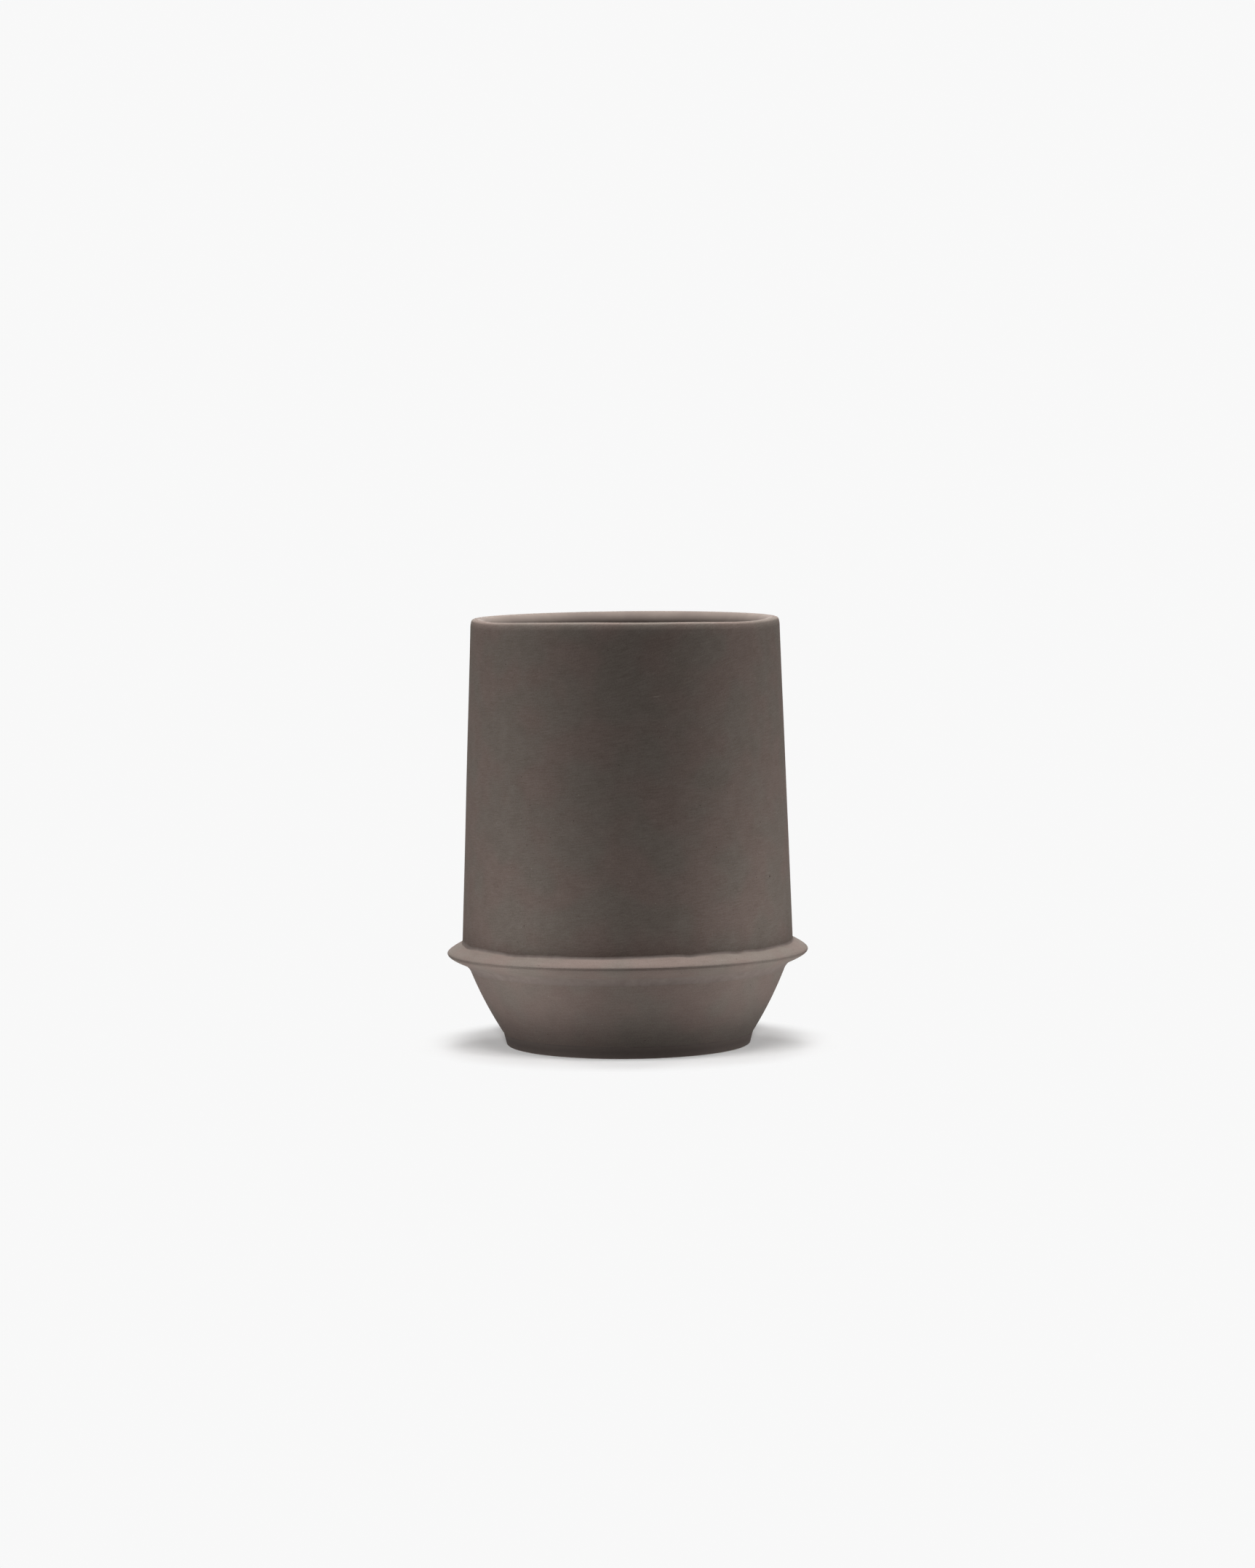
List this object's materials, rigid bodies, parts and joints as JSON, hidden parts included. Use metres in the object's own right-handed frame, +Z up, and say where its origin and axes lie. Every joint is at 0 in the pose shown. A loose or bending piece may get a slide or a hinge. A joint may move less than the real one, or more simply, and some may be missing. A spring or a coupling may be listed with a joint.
{
  "type": "porcelain mug",
  "caption": "Tall handleless porcelain mug: tapered wall with a rounded lip on a discus-shaped collar, a bowl that narrows below it and a low foot ring.",
  "frame": {"origin": "on the table, in the middle of the foot ring", "axes": "+Z up along the mug's axis of revolution, towards the lip; the picture looks along +Y"},
  "size_m": [0.093, 0.093, 0.11],
  "materials": {
    "sanded_porcelain": "unglazed stained porcelain, sanded dull",
    "bare_foot": "unglazed stained porcelain, turned and sanded",
    "fired_slip": "fired slip, dull",
    "satin_glaze": "satin glaze"
  },
  "bodies": {
    "root": {"upper_wall": "sanded_porcelain", "flange_collar": "sanded_porcelain", "lower_bowl": "sanded_porcelain", "foot_ring": "bare_foot", "wall_slip": "fired_slip", "bowl_slip": "fired_slip", "foot_slip": "fired_slip", "inner_glaze": "satin_glaze"}
  },
  "joints": []
}
